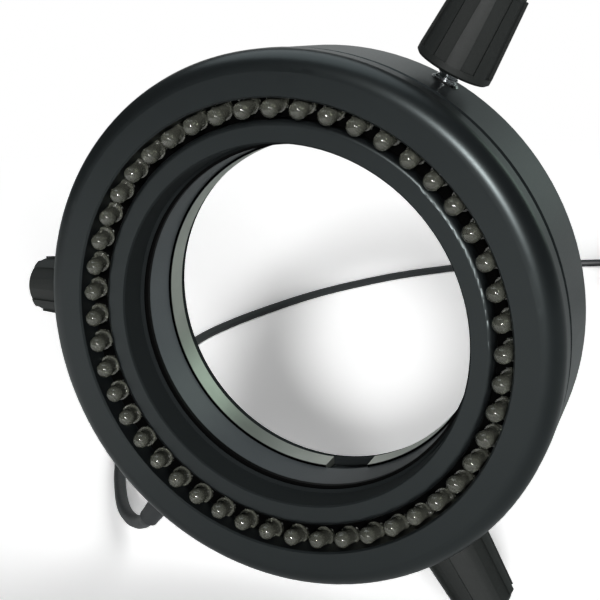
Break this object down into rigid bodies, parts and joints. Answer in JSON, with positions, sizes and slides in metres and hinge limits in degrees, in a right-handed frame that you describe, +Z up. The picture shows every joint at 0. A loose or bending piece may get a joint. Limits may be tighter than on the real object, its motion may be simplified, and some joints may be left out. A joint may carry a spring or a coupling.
{
  "type": "uv ring light",
  "caption": "Ring lamp with small domed lamps in a slot round its bore; thumb screws squeeze a split band onto a microscope objective, and a thin cord feeds it",
  "frame": {"origin": "On the bore axis, in the plane of the three thumb screws, inside the clamp band's width", "axes": "+Y along the bore axis to the rear, where the objective comes in; the lamps face -Y; +Z up as pictured, with thumb screws at 60, 180 and 300 degrees from +X towards +Z"},
  "size_m": [0.1898, 0.3125, 0.1178],
  "materials": {
    "black_anodised_aluminium": "fine bead-blasted, black anodised",
    "grey_anodised_aluminium": "turned, grey anodised",
    "bare_aluminium": "turned, bare",
    "seal_rubber": "moulded",
    "lamp_epoxy": "clear cast epoxy",
    "tinned_wire": "tinned",
    "black_moulded_plastic": "moulded, matt",
    "board_laminate": "solder-masked laminate",
    "chip_ceramic": "glazed chip",
    "plated_steel": "zinc plated",
    "nickel_brass": "nickel plated",
    "nylon": "moulded",
    "knob_plastic": "moulded, fine grain",
    "cord_vinyl": "extruded, satin",
    "red_insulation": "extruded",
    "black_insulation": "extruded",
    "plug_plastic": "moulded, satin"
  },
  "bodies": {
    "ring": {"front_bezel": "black_anodised_aluminium", "seal_ring": "seal_rubber", "led_holder": "black_moulded_plastic", "leds": "lamp_epoxy", "led_leads": "tinned_wire", "led_board": "board_laminate", "resistors": "chip_ceramic", "inner_collar": "black_anodised_aluminium", "bore_sleeve": "grey_anodised_aluminium", "clamp_band": "bare_aluminium", "rear_housing": "black_anodised_aluminium", "housing_screws": "plated_steel", "thread_bushes": "nickel_brass", "cable_gland": "black_moulded_plastic", "gland_nut": "black_moulded_plastic", "strain_relief": "cord_vinyl", "cord_inlet": "cord_vinyl", "wire_positive": "red_insulation", "wire_negative": "black_insulation", "cord_run": "cord_vinyl", "cord_coil": "cord_vinyl", "coil_tie": "black_moulded_plastic", "plug_boot": "cord_vinyl", "plug_body": "plug_plastic", "plug_barrel": "nickel_brass", "plug_insulator": "black_moulded_plastic"},
    "pad_1": {"thrust_pad_1": "nylon"},
    "thumb_screw_1": {"clamp_screw_1": "plated_steel", "knob_1": "knob_plastic"},
    "pad_2": {"thrust_pad_2": "nylon"},
    "thumb_screw_2": {"clamp_screw_2": "plated_steel", "knob_2": "knob_plastic"},
    "pad_3": {"thrust_pad_3": "nylon"},
    "thumb_screw_3": {"clamp_screw_3": "plated_steel", "knob_3": "knob_plastic"}
  },
  "joints": [
    {"name": "pad_1_slide", "type": "slide", "parent": "ring", "child": "pad_1", "axis": [-0.5, 0, -0.866], "range_m": [-0.00035, 0.0021]},
    {"name": "thumb_screw_1_turn", "type": "hinge", "parent": "pad_1", "child": "thumb_screw_1", "pos_m": [0.02875, 0, 0.0498], "axis": [-0.5, 0, -0.866], "range_deg": [-180, 1080]},
    {"name": "pad_2_slide", "type": "slide", "parent": "ring", "child": "pad_2", "axis": [1, 0, 0], "range_m": [-0.00231, 0.00014]},
    {"name": "thumb_screw_2_turn", "type": "hinge", "parent": "pad_2", "child": "thumb_screw_2", "pos_m": [-0.0575, 0, 0], "axis": [1, 0, 0], "range_deg": [-1188, 72]},
    {"name": "pad_3_slide", "type": "slide", "parent": "ring", "child": "pad_3", "axis": [-0.5, 0, 0.866], "range_m": [-0.00147, 0.00098]},
    {"name": "thumb_screw_3_turn", "type": "hinge", "parent": "pad_3", "child": "thumb_screw_3", "pos_m": [0.02875, 0, -0.0498], "axis": [-0.5, 0, 0.866], "range_deg": [-756, 504]}
  ],
  "couplings": [
    {"joint": "thumb_screw_1_turn", "follows": "pad_1_slide", "rad_per_m": 8976},
    {"joint": "thumb_screw_2_turn", "follows": "pad_2_slide", "rad_per_m": 8976},
    {"joint": "thumb_screw_3_turn", "follows": "pad_3_slide", "rad_per_m": 8976}
  ]
}
